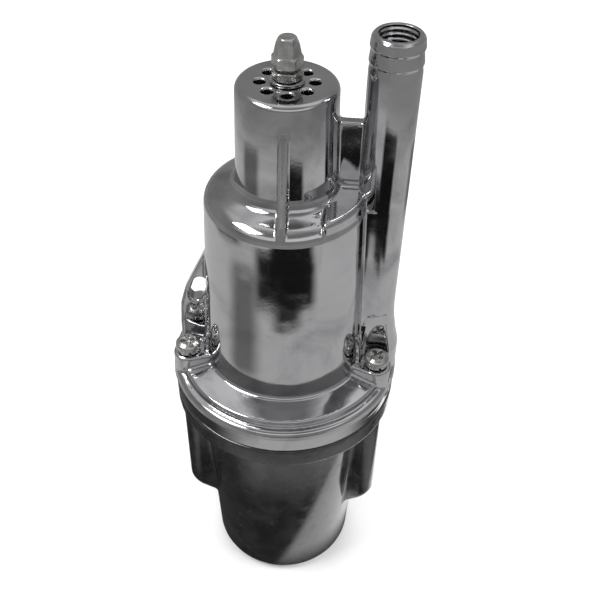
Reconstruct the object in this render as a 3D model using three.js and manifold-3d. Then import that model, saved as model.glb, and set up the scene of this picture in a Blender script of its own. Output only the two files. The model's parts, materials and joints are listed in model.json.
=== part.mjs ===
// Electromagnetic vibratory well pump, upper intake.
// Units are millimetres and +Z is up. The origin is the centre of the flat bottom of the magnet housing.
// +X points to the outlet pipe, and the pump is nearly symmetrical about the XZ plane.
// The coil shakes the armature, the rod carries the shake to the rubber piston in the chromed casing,
// and water comes in through the ring of holes in the neck and leaves through the outlet pipe.

import * as THREE from 'three';
import { mergeVertices } from 'three/addons/utils/BufferGeometryUtils.js';
import Module from 'manifold-3d';

const wasm = await Module();
wasm.setup();

// ---------------------------------------------------------------- driving sizes

const FIT_GAP = 0.3;              // air left between two pieces that touch on the real pump

// Magnet housing, the black cup
const HOUSING_FOOT_RADIUS = 34;
const HOUSING_TOP_RADIUS = 38.3;
const HOUSING_FLANGE_BOTTOM = 110;
const JOINT_HEIGHT = 119.3;       // top face of the housing flange, where the casing sits
const FLANGE_RADIUS = 49.6;
const HOUSING_WALL = 4;
const HOUSING_FLOOR = 6;
const BOSS_BOTTOM = 42;           // where the screw bosses meet the cup at their lower end
const BOSS_RADIUS = 5.2;

// Pump casing, the chromed upper casting
const CASING_BOTTOM = JOINT_HEIGHT + FIT_GAP;
const RIM_TOP = 131.4;            // top of the rounded rim of the casing flange
const DECK_HEIGHT = 134.8;        // outer edge of the sloping deck inside the rim
const BARREL_FOOT = 137;
const BARREL_FOOT_RADIUS = 34.6;
const BARREL_TOP = 212;
const BARREL_TOP_RADIUS = 32;
const SHOULDER_HEIGHT = 220;
const NECK_FOOT = 225;
const NECK_FOOT_RADIUS = 19.5;
const NECK_TOP = 263.5;
const NECK_TOP_RADIUS = 18.6;
const FIN_BEARING = 88;           // degrees off the X axis, in front and behind
const INTAKE_PLATE = 4.5;         // thickness of the drilled face on top of the neck
const BARREL_BORE = 28;
const NECK_BORE = 15.4;
const CHAMBER_FLOOR = 140;        // lower end of the barrel bore, above the diaphragm seat
const FLANGE_DRAFT = 0.7;         // how much narrower the casing flange is at its foot
const JOIN_DEPTH = 6;             // how far pieces of the casting reach into the flange

// Outlet pipe
const PIPE_X = 36.8;
const PIPE_RADIUS = 9.4;
const PIPE_BORE = 6.6;
const PIPE_TOP = 283.4;
const PIPE_BORE_BOTTOM = 150;
const PIPE_FOOT_RADIUS = 12.6;    // the pipe flares out where it stands on the flange
const BARB_PITCH = 5.4;
const BARB_RADIUS = 9.6;
const BARB_DIP = 0.5;             // how far the pipe draws in below each barb

// Four screws hold the two halves together, in a pair on each side
const SCREW_CIRCLE = 43;
const SCREW_ANGLE = 19;           // degrees off the X axis
const LUG_RADIUS = 6.4;
const LUG_TOP = 141;
const SCREW_RADIUS = 2.9;
const SCREW_HOLE = 3.3;
const SCREW_HEAD_RADIUS = 5.3;
const SCREW_HEAD_HEIGHT = 3.6;
const SCREW_TIP = 84;
const SPRING_WASHER_HEIGHT = 1.4;

// Intake holes and the stud in the middle of them
const INTAKE_HOLES = 8;
const INTAKE_CIRCLE = 9.7;
const INTAKE_HOLE = 2.05;
const INTAKE_START = 5;           // bearing of the first hole, in degrees
const STUD_RADIUS = 2.9;
const STUD_HOLE = 3.2;

// Rubber stack clamped between the two halves
const STACK_RADIUS = 36.6;
const ABSORBER_HEIGHT = 10;
const SPACER_HEIGHT = 4;
const DIAPHRAGM_HEIGHT = 3;
const STACK_LEDGE = 112.6;        // ledge in the housing that the stack stands on

// Vibrator: rod, armature and piston
const ROD_RADIUS = 4.8;
const ROD_THREAD_RADIUS = 3.9;
const PISTON_RADIUS = 26.8;
const PISTON_HEIGHT = 7;
const PISTON_BOTTOM = 196;
const NUT_FLATS = 13;
const NUT_HEIGHT = 6.5;
const CLAMP_WASHER_RADIUS = 13;
const CLAMP_WASHER_HEIGHT = 2;
const ROD_HOLE = ROD_THREAD_RADIUS + 0.2;

// Electromagnet
const CORE_LEG_X = 14;
const CORE_LEG_WIDTH = 10;
const CORE_DEPTH = 22;
const CORE_BOTTOM = 14;
const CORE_BACK_HEIGHT = 12;
const CORE_TOP = 82;
const BOBBIN_BOTTOM = 28;
const BOBBIN_TOP = 76;
const BOBBIN_WALL = 1.2;
const BOBBIN_FLANGE = 1.8;
const COIL_THICKNESS = 4.6;
const COMPOUND_TOP = 79;
const ARMATURE_BOTTOM = 87;
const ARMATURE_HEIGHT = 11;

// Numbers of segments round a circle
const ROUND_COARSE = 16;
const ROUND_MEDIUM = 32;
const ROUND_FINE = 48;

// ---------------------------------------------------------------- materials

function finish(color, roughness, metalness) {
  return new THREE.MeshStandardMaterial({ color, roughness, metalness });
}

const CHROME = finish(0xc4c6c8, 0.12, 1);
const BLACK_ENAMEL = finish(0x17181a, 0.22, 0.1);
const BLACK_RUBBER = finish(0x1b1b1b, 0.8, 0);
const ZINC_STEEL = finish(0xb4b6b4, 0.3, 1);
const PLAIN_STEEL = finish(0x8f9294, 0.4, 1);
const CORE_STEEL = finish(0x5c5f63, 0.5, 0.9);
const COPPER = finish(0xb4693a, 0.35, 1);
const NYLON = finish(0xe4e0d2, 0.5, 0);
const COMPOUND = finish(0x2c2a28, 0.55, 0);

// ---------------------------------------------------------------- solids

// Turns a closed three.js geometry into a manifold solid that faces outward.
function solid(geometry) {
  const bare = geometry.index ? geometry.toNonIndexed() : geometry.clone();
  bare.deleteAttribute('normal');
  bare.deleteAttribute('uv');
  const welded = mergeVertices(bare, 1e-4);
  const points = welded.attributes.position;
  const corners = [];
  for (let i = 0; i < welded.index.count; i += 3) {
    const triangle = [welded.index.getX(i), welded.index.getX(i + 1), welded.index.getX(i + 2)];
    if (new Set(triangle).size === 3) {
      corners.push(...triangle);
    }
  }
  if (enclosedVolume(points, corners) < 0) {
    corners.reverse();
  }
  const mesh = new wasm.Mesh({
    numProp: 3,
    vertProperties: new Float32Array(points.array),
    triVerts: new Uint32Array(corners),
  });
  return new wasm.Manifold(mesh);
}

function enclosedVolume(points, corners) {
  const [a, b, c] = [new THREE.Vector3(), new THREE.Vector3(), new THREE.Vector3()];
  let volume = 0;
  for (let i = 0; i < corners.length; i += 3) {
    a.fromBufferAttribute(points, corners[i]);
    b.fromBufferAttribute(points, corners[i + 1]);
    c.fromBufferAttribute(points, corners[i + 2]);
    volume += a.dot(b.cross(c)) / 6;
  }
  return volume;
}

// A solid of revolution about the vertical line through (x, y). The outline holds [radius, height] pairs.
function turned(outline, segments, x = 0, y = 0) {
  const profile = outline.map(([radius, height]) => new THREE.Vector2(radius, height));
  const geometry = new THREE.LatheGeometry(profile, segments);
  geometry.rotateX(Math.PI / 2);
  geometry.translate(x, y, 0);
  return solid(geometry);
}

function cylinder(radius, bottom, top, segments, x = 0, y = 0) {
  return turned([[0, bottom], [radius, bottom], [radius, top], [0, top]], segments, x, y);
}

// A washer or sleeve: the outline closes on itself off the axis.
function ring(outer, inner, bottom, top, segments, x = 0, y = 0) {
  const outline = [[inner, bottom], [outer, bottom], [outer, top], [inner, top], [inner, bottom]];
  return turned(outline, segments, x, y);
}

function box(low, high) {
  const size = low.map((value, axis) => high[axis] - value);
  const geometry = new THREE.BoxGeometry(...size);
  geometry.translate(...low.map((value, axis) => value + size[axis] / 2));
  return solid(geometry);
}

// A plan shape in X and Y, raised from bottom to top.
function raised(shape, bottom, top, segments = 6) {
  const geometry = new THREE.ExtrudeGeometry(shape, {
    depth: top - bottom,
    bevelEnabled: false,
    curveSegments: segments,
  });
  geometry.translate(0, 0, bottom);
  return solid(geometry);
}

// A side shape in X and Z, centred on the XZ plane and thick along Y.
function upright(shape, thickness, segments = 6) {
  const geometry = new THREE.ExtrudeGeometry(shape, {
    depth: thickness,
    bevelEnabled: false,
    curveSegments: segments,
  });
  geometry.translate(0, 0, -thickness / 2);
  geometry.rotateX(Math.PI / 2);
  return solid(geometry);
}

function polygon(points) {
  return new THREE.Shape(points.map(([x, y]) => new THREE.Vector2(x, y)));
}

function roundedRectangle(halfX, halfY, radius) {
  const shape = new THREE.Shape();
  shape.moveTo(halfX, -halfY + radius);
  shape.absarc(halfX - radius, halfY - radius, radius, 0, Math.PI / 2);
  shape.absarc(-halfX + radius, halfY - radius, radius, Math.PI / 2, Math.PI);
  shape.absarc(-halfX + radius, -halfY + radius, radius, Math.PI, 1.5 * Math.PI);
  shape.absarc(halfX - radius, -halfY + radius, radius, 1.5 * Math.PI, 2 * Math.PI);
  return shape;
}

// Points along a circular arc of an outline, with angles in degrees and both ends included.
function arc(centre, radius, from, to, steps) {
  const points = [];
  for (let i = 0; i <= steps; i += 1) {
    const angle = THREE.MathUtils.degToRad(from + (to - from) * i / steps);
    points.push([centre[0] + radius * Math.cos(angle), centre[1] + radius * Math.sin(angle)]);
  }
  return points;
}

function joined(solids) {
  return solids.reduce((whole, piece) => whole.add(piece));
}

function cut(whole, tools) {
  return tools.reduce((left, tool) => left.subtract(tool), whole);
}

function onCircle(radius, degrees) {
  const angle = THREE.MathUtils.degToRad(degrees);
  return [radius * Math.cos(angle), radius * Math.sin(angle)];
}

const SCREW_PLACES = {
  front_left: onCircle(SCREW_CIRCLE, 180 + SCREW_ANGLE),
  back_left: onCircle(SCREW_CIRCLE, 180 - SCREW_ANGLE),
  front_right: onCircle(SCREW_CIRCLE, -SCREW_ANGLE),
  back_right: onCircle(SCREW_CIRCLE, SCREW_ANGLE),
};

// ---------------------------------------------------------------- pump casing

function casingBody() {
  const rimRounding = 2.6;
  const shoulderRounding = 6;
  const faceRounding = 3;
  return turned([
    [0, CASING_BOTTOM],
    [FLANGE_RADIUS - FLANGE_DRAFT - 0.6, CASING_BOTTOM],
    [FLANGE_RADIUS - FLANGE_DRAFT, CASING_BOTTOM + 0.8],
    ...arc([FLANGE_RADIUS - rimRounding, RIM_TOP - rimRounding], rimRounding, 0, 80, 4),
    [FLANGE_RADIUS - 3.2, RIM_TOP + 0.2],
    ...arc([FLANGE_RADIUS - 5, DECK_HEIGHT - 1.4], 1.4, 0, 80, 2),
    [BARREL_FOOT_RADIUS + 2.2, BARREL_FOOT - 0.6],
    [BARREL_FOOT_RADIUS + 0.7, BARREL_FOOT + 0.3],
    [BARREL_FOOT_RADIUS - 0.1, BARREL_FOOT + 2],
    ...arc([BARREL_TOP_RADIUS - shoulderRounding, BARREL_TOP + 1], shoulderRounding, 0, 72, 5),
    [NECK_FOOT_RADIUS + 4.5, NECK_FOOT - 3.4],
    [NECK_FOOT_RADIUS + 1.2, NECK_FOOT - 1.6],
    [NECK_FOOT_RADIUS, NECK_FOOT + 1.2],
    ...arc([NECK_TOP_RADIUS - faceRounding, NECK_TOP - faceRounding], faceRounding, 0, 90, 4),
    [0, NECK_TOP],
  ], ROUND_FINE);
}

// The barrel bore, the neck bore above it and the seat for the rubber stack below it.
function casingBore() {
  const boreTop = 204;
  const neckBoreFoot = 216;
  const seatTop = STACK_LEDGE + 3 * FIT_GAP + ABSORBER_HEIGHT + SPACER_HEIGHT + DIAPHRAGM_HEIGHT;
  const seatRadius = STACK_RADIUS + FIT_GAP;
  const throatRadius = 20;
  return turned([
    [0, CASING_BOTTOM - 5],
    [seatRadius, CASING_BOTTOM - 5],
    [seatRadius, seatTop + FIT_GAP],
    [throatRadius, seatTop + FIT_GAP],
    [throatRadius, CHAMBER_FLOOR - 4],
    [BARREL_BORE, CHAMBER_FLOOR],
    [BARREL_BORE, boreTop],
    [BARREL_BORE - 2.5, boreTop + 6],
    [NECK_BORE, neckBoreFoot],
    [NECK_BORE, NECK_TOP - INTAKE_PLATE],
    [0, NECK_TOP - INTAKE_PLATE],
  ], ROUND_MEDIUM);
}

function outletPipe() {
  const topBarb = PIPE_TOP - 4.4;
  const lowerBarb = topBarb - BARB_PITCH;
  const outline = [
    [0, RIM_TOP - JOIN_DEPTH],
    [PIPE_FOOT_RADIUS, RIM_TOP - JOIN_DEPTH],
    [PIPE_FOOT_RADIUS, LUG_TOP + 2],
    [PIPE_FOOT_RADIUS - 1.6, LUG_TOP + 9],
    [PIPE_RADIUS + 0.4, LUG_TOP + 16],
    [PIPE_RADIUS, LUG_TOP + 24],
    [PIPE_RADIUS, lowerBarb - 3],
  ];
  for (const step of [lowerBarb, topBarb]) {
    outline.push([BARB_RADIUS - BARB_DIP, step - 0.4]);
    outline.push([BARB_RADIUS, step + 0.2]);
  }
  outline.push([PIPE_RADIUS - 0.2, PIPE_TOP - 1]);
  outline.push([PIPE_RADIUS - 0.9, PIPE_TOP]);
  outline.push([0, PIPE_TOP]);
  return turned(outline, ROUND_MEDIUM, PIPE_X);
}

// A flat wall that fills the crease between the barrel and the pipe.
function pipeBridge() {
  const halfWidth = 8.8;
  return box(
    [BARREL_TOP_RADIUS - 12, -halfWidth, RIM_TOP - JOIN_DEPTH],
    [PIPE_X, halfWidth, SHOULDER_HEIGHT - 4],
  );
}

// The roof of the duct from the barrel to the pipe: a raised step on the pipe's side of the shoulder.
function ductRoof() {
  const edge = BARREL_TOP_RADIUS - 0.5;
  const roof = SHOULDER_HEIGHT + 2.4;
  const foot = BARREL_TOP - 10;
  const stepX = 15.8;             // the step faces away from the pipe here
  const halfWidth = 7.4;
  const chamfer = 1.6;
  const step = turned([
    [0, foot],
    [edge - 3, foot],
    [edge, BARREL_TOP + 2],
    [edge, roof - chamfer],
    [edge - chamfer, roof],
    [0, roof],
  ], ROUND_FINE);
  const pipeSide = box([stepX, -FLANGE_RADIUS, foot - 1], [FLANGE_RADIUS, FLANGE_RADIUS, roof + 1]);
  const bridge = box([BARREL_TOP_RADIUS - 12, -halfWidth, foot], [PIPE_X, halfWidth, roof - 0.4]);
  return step.intersect(pipeSide).add(bridge);
}

// The plate that ties the neck to the pipe.
function pipeWeb() {
  const bottom = NECK_FOOT - 10;
  const top = NECK_TOP - 13.5;
  const thickness = 4.5;
  const bite = 3;                 // how far it reaches into the neck and the pipe
  const plate = polygon([
    [NECK_FOOT_RADIUS - bite, bottom],
    [PIPE_X - bite, bottom],
    [PIPE_X - bite, top],
    [NECK_TOP_RADIUS - bite, top],
  ]);
  return upright(plate, thickness);
}

// Thin fins on the neck, one in front and one behind.
function neckFin(degrees) {
  const thickness = 3.4;
  const reach = 30.4;
  const fin = polygon([
    [NECK_FOOT_RADIUS - 3, NECK_FOOT - 12],
    [reach, NECK_FOOT - 12],
    [reach, SHOULDER_HEIGHT - 1.5],
    [reach - 1.2, SHOULDER_HEIGHT + 1.5],
    [NECK_FOOT_RADIUS + 0.3, NECK_TOP - 11.5],
    [NECK_TOP_RADIUS - 2, NECK_TOP - 4.5],
  ]);
  return upright(fin, thickness).rotate([0, 0, degrees]);
}

// A screw lug: a block from the barrel to the rim with a rounded end, and a sloping rib on top of it.
function screwLug([x, y]) {
  const degrees = THREE.MathUtils.radToDeg(Math.atan2(y, x));
  const plan = new THREE.Shape();
  const blockInside = SCREW_CIRCLE - 14;
  plan.moveTo(blockInside, -LUG_RADIUS);
  plan.lineTo(SCREW_CIRCLE, -LUG_RADIUS);
  plan.absarc(SCREW_CIRCLE, 0, LUG_RADIUS, -Math.PI / 2, Math.PI / 2);
  plan.lineTo(blockInside, LUG_RADIUS);
  const block = raised(plan, RIM_TOP - JOIN_DEPTH, LUG_TOP, 8);
  const ribInside = SCREW_CIRCLE - 13;
  const ribOutside = SCREW_CIRCLE - LUG_RADIUS;
  const ribThickness = 5;
  const rib = upright(polygon([
    [ribInside, LUG_TOP - 3],
    [ribOutside, LUG_TOP - 3],
    [ribOutside, LUG_TOP + 3],
    [ribOutside - 2.6, LUG_TOP + 13],
    [ribInside, LUG_TOP + 16],
  ]), ribThickness);
  return block.add(rib).rotate([0, 0, degrees]);
}

// The plate opposite the pipe that the lowering rope is tied through.
function ropeEye() {
  const thickness = 6;
  const inside = -BARREL_TOP_RADIUS + 4;
  const top = 188;
  const plate = polygon([
    [inside, RIM_TOP],
    [inside, top],
    [-BARREL_TOP_RADIUS - 0.9, top - 1],
    [-43, top - 23],
    [-45.2, top - 31],
    [-46, top - 42],
    [-46.4, RIM_TOP],
  ]);
  const slotRadius = 3;
  const slotBottom = [-38.2, 162.5];
  const slotTop = [-35.8, 169.5];
  const slot = new THREE.Path();
  slot.absarc(...slotBottom, slotRadius, Math.PI, 2 * Math.PI);
  slot.absarc(...slotTop, slotRadius, 0, Math.PI);
  plate.holes.push(slot);
  return upright(plate, thickness, 8);
}

function intakeHoles() {
  const tools = [cylinder(STUD_HOLE, NECK_TOP - 10, NECK_TOP + 1, ROUND_COARSE)];
  for (let i = 0; i < INTAKE_HOLES; i += 1) {
    const [x, y] = onCircle(INTAKE_CIRCLE, INTAKE_START + i * 360 / INTAKE_HOLES);
    tools.push(cylinder(INTAKE_HOLE, NECK_TOP - 10, NECK_TOP + 1, 12, x, y));
  }
  return tools;
}

function pumpCasing() {
  const lugs = Object.values(SCREW_PLACES).map(screwLug);
  const outside = joined([
    casingBody(),
    outletPipe(),
    pipeBridge(),
    ductRoof(),
    pipeWeb(),
    neckFin(-FIN_BEARING),
    neckFin(FIN_BEARING),
    ropeEye(),
    ...lugs,
  ]);
  const pocketHeight = 22;
  const pockets = Object.values(SCREW_PLACES).map(
    ([x, y]) => cylinder(LUG_RADIUS + 0.6, LUG_TOP, LUG_TOP + pocketHeight, ROUND_COARSE, x, y),
  );
  const screwHoles = Object.values(SCREW_PLACES).map(
    ([x, y]) => cylinder(SCREW_HOLE, CASING_BOTTOM - 5, LUG_TOP + 1, ROUND_COARSE, x, y),
  );
  const pipeBore = cylinder(PIPE_BORE, PIPE_BORE_BOTTOM, PIPE_TOP + 1, ROUND_MEDIUM, PIPE_X);
  const ductHalfWidth = 4.6;
  const ductBottom = PIPE_BORE_BOTTOM + 2;
  const ductTop = PIPE_BORE_BOTTOM + 30;
  const duct = box([BARREL_BORE - 6, -ductHalfWidth, ductBottom], [PIPE_X, ductHalfWidth, ductTop]);
  return cut(outside, [...pockets, ...screwHoles, pipeBore, duct, casingBore(), ...intakeHoles()]);
}

// ---------------------------------------------------------------- magnet housing

function housingRadius(height) {
  return HOUSING_FOOT_RADIUS + (HOUSING_TOP_RADIUS - HOUSING_FOOT_RADIUS) * height / HOUSING_FLANGE_BOTTOM;
}

function magnetHousing() {
  const footRounding = 6;
  const cup = turned([
    [0, 0],
    ...arc([HOUSING_FOOT_RADIUS - footRounding, footRounding], footRounding, -90, 0, 4),
    [HOUSING_TOP_RADIUS, HOUSING_FLANGE_BOTTOM - 1],
    [HOUSING_TOP_RADIUS + 1, HOUSING_FLANGE_BOTTOM],
    [FLANGE_RADIUS - 1.8, HOUSING_FLANGE_BOTTOM],
    [FLANGE_RADIUS - 0.8, HOUSING_FLANGE_BOTTOM + 1],
    [FLANGE_RADIUS - 0.3, JOINT_HEIGHT - 0.6],
    [FLANGE_RADIUS - 0.9, JOINT_HEIGHT],
    [0, JOINT_HEIGHT],
  ], ROUND_FINE);
  const bosses = Object.values(SCREW_PLACES).map(screwBoss);
  const hollow = turned([
    [0, HOUSING_FLOOR],
    [housingRadius(HOUSING_FLOOR) - HOUSING_WALL - 3, HOUSING_FLOOR],
    [housingRadius(HOUSING_FLOOR + 3) - HOUSING_WALL, HOUSING_FLOOR + 3],
    [housingRadius(STACK_LEDGE) - HOUSING_WALL, STACK_LEDGE - 1],
    [housingRadius(STACK_LEDGE) - HOUSING_WALL, STACK_LEDGE],
    [STACK_RADIUS + FIT_GAP, STACK_LEDGE],
    [STACK_RADIUS + FIT_GAP, JOINT_HEIGHT + 1],
    [0, JOINT_HEIGHT + 1],
  ], ROUND_MEDIUM);
  const screwHoles = Object.values(SCREW_PLACES).map(
    ([x, y]) => cylinder(SCREW_HOLE, SCREW_TIP - 2, JOINT_HEIGHT + 1, ROUND_COARSE, x, y),
  );
  return cut(joined([cup, ...bosses, cableInlet()]), [...screwHoles, hollow, cableHole()]);
}

// A screw boss down the side of the cup. Its lower end slopes up and away from the cup.
function screwBoss([x, y]) {
  const degrees = THREE.MathUtils.radToDeg(Math.atan2(y, x));
  const centre = SCREW_CIRCLE - 0.6;
  const inside = SCREW_CIRCLE - 12;
  const plan = new THREE.Shape();
  plan.moveTo(inside, -BOSS_RADIUS);
  plan.lineTo(centre, -BOSS_RADIUS);
  plan.absarc(centre, 0, BOSS_RADIUS, -Math.PI / 2, Math.PI / 2);
  plan.lineTo(inside, BOSS_RADIUS);
  const column = raised(plan, BOSS_BOTTOM, HOUSING_FLANGE_BOTTOM + 4, 8);
  const cupSide = SCREW_CIRCLE - 7;
  const outer = SCREW_CIRCLE + 7;
  const slope = upright(polygon([
    [cupSide, BOSS_BOTTOM - 1],
    [outer, BOSS_BOTTOM - 1],
    [outer, BOSS_BOTTOM - 1 + (outer - cupSide)],
  ]), 3 * BOSS_RADIUS);
  return column.subtract(slope).rotate([0, 0, degrees]);
}

// The cable comes in at the back of the cup, just under the flange.
const INLET_HEIGHT = 98;
const INLET_RADIUS = 8;
const INLET_END = 48;
const GLAND_RADIUS = 5.4;

function alongY(piece, height) {
  return piece.rotate([-90, 0, 0]).translate([0, 0, height]);
}

function cableInlet() {
  return alongY(cylinder(INLET_RADIUS, 34, INLET_END, ROUND_COARSE + 4), INLET_HEIGHT);
}

function cableHole() {
  return alongY(cylinder(GLAND_RADIUS + FIT_GAP, 20, INLET_END + 1, ROUND_COARSE), INLET_HEIGHT);
}

function cableGland() {
  const cableHoleRadius = 3.4;
  const gland = turned([
    [cableHoleRadius, 36],
    [GLAND_RADIUS, 36],
    [GLAND_RADIUS, INLET_END + FIT_GAP],
    [GLAND_RADIUS + 1.8, INLET_END + FIT_GAP],
    [GLAND_RADIUS + 1.4, INLET_END + 2],
    [cableHoleRadius, INLET_END + 2],
    [cableHoleRadius, 36],
  ], ROUND_COARSE);
  return alongY(gland, INLET_HEIGHT);
}

// ---------------------------------------------------------------- electromagnet

function magnetCore() {
  const outerX = CORE_LEG_X + CORE_LEG_WIDTH / 2;
  const innerX = CORE_LEG_X - CORE_LEG_WIDTH / 2;
  const outline = polygon([
    [-outerX, CORE_BOTTOM],
    [outerX, CORE_BOTTOM],
    [outerX, CORE_TOP],
    [innerX, CORE_TOP],
    [innerX, CORE_BOTTOM + CORE_BACK_HEIGHT],
    [-innerX, CORE_BOTTOM + CORE_BACK_HEIGHT],
    [-innerX, CORE_TOP],
    [-outerX, CORE_TOP],
  ]);
  return upright(outline, CORE_DEPTH);
}

// A tube of rounded rectangular section round one leg of the core.
function legSleeve(inner, outer, corner, bottom, top) {
  const halfX = CORE_LEG_WIDTH / 2;
  const halfY = CORE_DEPTH / 2;
  const shape = roundedRectangle(halfX + outer, halfY + outer, corner);
  const hole = roundedRectangle(halfX + inner, halfY + inner, 0.5);
  shape.holes.push(new THREE.Path(hole.getPoints(1)));
  return raised(shape, bottom, top, 3);
}

function coilBobbin(side) {
  const reach = FIT_GAP + BOBBIN_WALL;
  const flangeReach = reach + COIL_THICKNESS + 0.8;
  const tube = legSleeve(FIT_GAP, reach, 0.8, BOBBIN_BOTTOM, BOBBIN_TOP);
  const lower = legSleeve(FIT_GAP, flangeReach, 4, BOBBIN_BOTTOM, BOBBIN_BOTTOM + BOBBIN_FLANGE);
  const upper = legSleeve(FIT_GAP, flangeReach, 4, BOBBIN_TOP - BOBBIN_FLANGE, BOBBIN_TOP);
  return joined([tube, lower, upper]).translate([side * CORE_LEG_X, 0, 0]);
}

function coil(side) {
  const start = 2 * FIT_GAP + BOBBIN_WALL;
  const bottom = BOBBIN_BOTTOM + BOBBIN_FLANGE + FIT_GAP;
  const top = BOBBIN_TOP - BOBBIN_FLANGE - FIT_GAP;
  return legSleeve(start, start + COIL_THICKNESS, 3.6, bottom, top).translate([side * CORE_LEG_X, 0, 0]);
}

// The compound fills the cup round the core and the wound bobbins.
function pottingCompound() {
  const fill = turned([
    [0, HOUSING_FLOOR + FIT_GAP],
    [housingRadius(HOUSING_FLOOR) - HOUSING_WALL - 3.4, HOUSING_FLOOR + FIT_GAP],
    [housingRadius(HOUSING_FLOOR + 3) - HOUSING_WALL - 0.6, HOUSING_FLOOR + 3.6],
    [housingRadius(COMPOUND_TOP) - HOUSING_WALL - 0.6, COMPOUND_TOP],
    [0, COMPOUND_TOP],
  ], ROUND_MEDIUM);
  const clear = 2 * FIT_GAP + BOBBIN_WALL + COIL_THICKNESS + 1.2;
  const halfX = CORE_LEG_X + CORE_LEG_WIDTH / 2;
  const halfY = CORE_DEPTH / 2;
  const windingRoom = raised(
    roundedRectangle(halfX + clear, halfY + clear, 5), BOBBIN_BOTTOM - FIT_GAP, BOBBIN_TOP + FIT_GAP, 3,
  );
  const coreRoom = box(
    [-halfX - FIT_GAP, -halfY - FIT_GAP, CORE_BOTTOM - FIT_GAP],
    [halfX + FIT_GAP, halfY + FIT_GAP, COMPOUND_TOP + 1],
  );
  return cut(fill, [windingRoom, coreRoom]);
}

// ---------------------------------------------------------------- rubber stack

const ABSORBER_BOTTOM = STACK_LEDGE + FIT_GAP;
const SPACER_BOTTOM = ABSORBER_BOTTOM + ABSORBER_HEIGHT + FIT_GAP;
const DIAPHRAGM_BOTTOM = SPACER_BOTTOM + SPACER_HEIGHT + FIT_GAP;

function shockAbsorber() {
  const top = ABSORBER_BOTTOM + ABSORBER_HEIGHT;
  return turned([
    [ROD_RADIUS + FIT_GAP, ABSORBER_BOTTOM],
    [CLAMP_WASHER_RADIUS + 1, ABSORBER_BOTTOM],
    [CLAMP_WASHER_RADIUS + 6, ABSORBER_BOTTOM + 2.4],
    [STACK_RADIUS - 6, ABSORBER_BOTTOM + 2.4],
    [STACK_RADIUS - 4, ABSORBER_BOTTOM],
    [STACK_RADIUS, ABSORBER_BOTTOM],
    [STACK_RADIUS, top],
    [STACK_RADIUS - 4, top],
    [STACK_RADIUS - 6, top - 2.4],
    [CLAMP_WASHER_RADIUS + 6, top - 2.4],
    [CLAMP_WASHER_RADIUS + 1, top],
    [ROD_RADIUS + FIT_GAP, top],
    [ROD_RADIUS + FIT_GAP, ABSORBER_BOTTOM],
  ], ROUND_MEDIUM);
}

function spacerRing() {
  return ring(STACK_RADIUS, STACK_RADIUS - 7, SPACER_BOTTOM, SPACER_BOTTOM + SPACER_HEIGHT, ROUND_MEDIUM);
}

function diaphragm() {
  const top = DIAPHRAGM_BOTTOM + DIAPHRAGM_HEIGHT;
  const web = 1.4;
  return turned([
    [ROD_RADIUS + FIT_GAP, DIAPHRAGM_BOTTOM],
    [CLAMP_WASHER_RADIUS - 3, DIAPHRAGM_BOTTOM],
    [CLAMP_WASHER_RADIUS, top - web],
    [STACK_RADIUS - 10, top - web],
    [STACK_RADIUS - 7, DIAPHRAGM_BOTTOM],
    [STACK_RADIUS, DIAPHRAGM_BOTTOM],
    [STACK_RADIUS, top],
    [ROD_RADIUS + FIT_GAP, top],
    [ROD_RADIUS + FIT_GAP, DIAPHRAGM_BOTTOM],
  ], ROUND_MEDIUM);
}

// ---------------------------------------------------------------- vibrator

const ARMATURE_TOP = ARMATURE_BOTTOM + ARMATURE_HEIGHT;
const PISTON_TOP = PISTON_BOTTOM + PISTON_HEIGHT;
const LOWER_SHOULDER = ARMATURE_TOP + FIT_GAP;
const UPPER_SHOULDER = PISTON_BOTTOM - CLAMP_WASHER_HEIGHT - 2 * FIT_GAP;
const COLLAR_HEIGHT = 5;
const COLLAR_BOTTOM = DIAPHRAGM_BOTTOM + DIAPHRAGM_HEIGHT + FIT_GAP;

function hexagonalNut(flats, bore, bottom, height) {
  const corner = flats / 2 / Math.cos(Math.PI / 6);
  const shape = new THREE.Shape();
  for (let i = 0; i < 6; i += 1) {
    const [x, y] = onCircle(corner, i * 60);
    if (i === 0) {
      shape.moveTo(x, y);
    } else {
      shape.lineTo(x, y);
    }
  }
  const blank = raised(shape, bottom, bottom + height);
  return blank.subtract(cylinder(bore, bottom - 1, bottom + height + 1, ROUND_COARSE));
}

const LOWER_NUT_HEIGHT = 3;
const LOCK_NUT_HEIGHT = 5;
const LOWER_NUT_BOTTOM = ARMATURE_BOTTOM - FIT_GAP - LOWER_NUT_HEIGHT;
const PISTON_NUT_BOTTOM = PISTON_TOP + 2 * FIT_GAP + CLAMP_WASHER_HEIGHT;
const LOCK_NUT_BOTTOM = PISTON_NUT_BOTTOM + NUT_HEIGHT + FIT_GAP;
const ROD_TOP = LOCK_NUT_BOTTOM + 6;

function rod() {
  const neckRadius = ROD_THREAD_RADIUS - 0.1;
  return turned([
    [0, LOWER_NUT_BOTTOM - 0.6],
    [neckRadius, LOWER_NUT_BOTTOM - 0.6],
    [neckRadius, LOWER_SHOULDER],
    [ROD_RADIUS, LOWER_SHOULDER],
    [ROD_RADIUS, UPPER_SHOULDER],
    [neckRadius, UPPER_SHOULDER],
    [neckRadius, ROD_TOP - 0.6],
    [neckRadius - 0.6, ROD_TOP],
    [0, ROD_TOP],
  ], ROUND_COARSE + 4);
}

// Two rings pressed on the rod clamp the rubber stack between them.
function rodCollar(bottom) {
  const radius = CLAMP_WASHER_RADIUS - 3.5;
  return ring(radius, ROD_RADIUS + FIT_GAP, bottom, bottom + COLLAR_HEIGHT, ROUND_COARSE + 4);
}

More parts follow.
